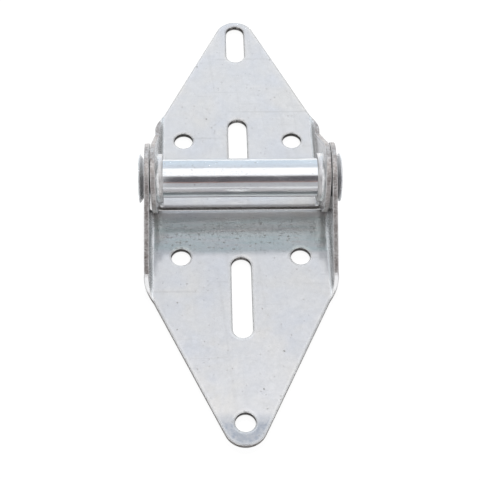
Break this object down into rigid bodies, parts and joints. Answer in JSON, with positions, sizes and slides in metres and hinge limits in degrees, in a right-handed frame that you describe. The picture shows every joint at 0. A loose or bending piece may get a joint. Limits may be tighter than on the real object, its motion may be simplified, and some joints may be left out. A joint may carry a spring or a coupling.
{
  "type": "garage door hinge",
  "caption": "Sectional garage door hinge in zinc-plated sheet steel: a narrow leaf turns between the ears of a wide leaf on a flared tube that takes a roller stem.",
  "frame": {"origin": "on the back face of the leaves, straight behind the middle of the tube", "axes": "+X along the tube, +Y up the door from the tube to the narrow leaf's tip, +Z out of the door"},
  "size_m": [0.0824, 0.2117, 0.0302],
  "materials": {
    "zinc_sheet": "zinc-plated sheet, satin, with small dark specks and bare brownish grey cut edges",
    "zinc_tube": "bright zinc plating, almost mirror-like, with fine marks round the tube"
  },
  "bodies": {
    "wide_leaf": {"lower_leaf": "zinc_sheet", "hinge_tube": "zinc_tube"},
    "narrow_leaf": {"upper_leaf": "zinc_sheet"}
  },
  "joints": [
    {"name": "knuckle", "type": "hinge", "parent": "wide_leaf", "child": "narrow_leaf", "pos_m": [0, 0, 0.0159], "axis": [1, 0, 0], "range_deg": [-5, 180]}
  ]
}
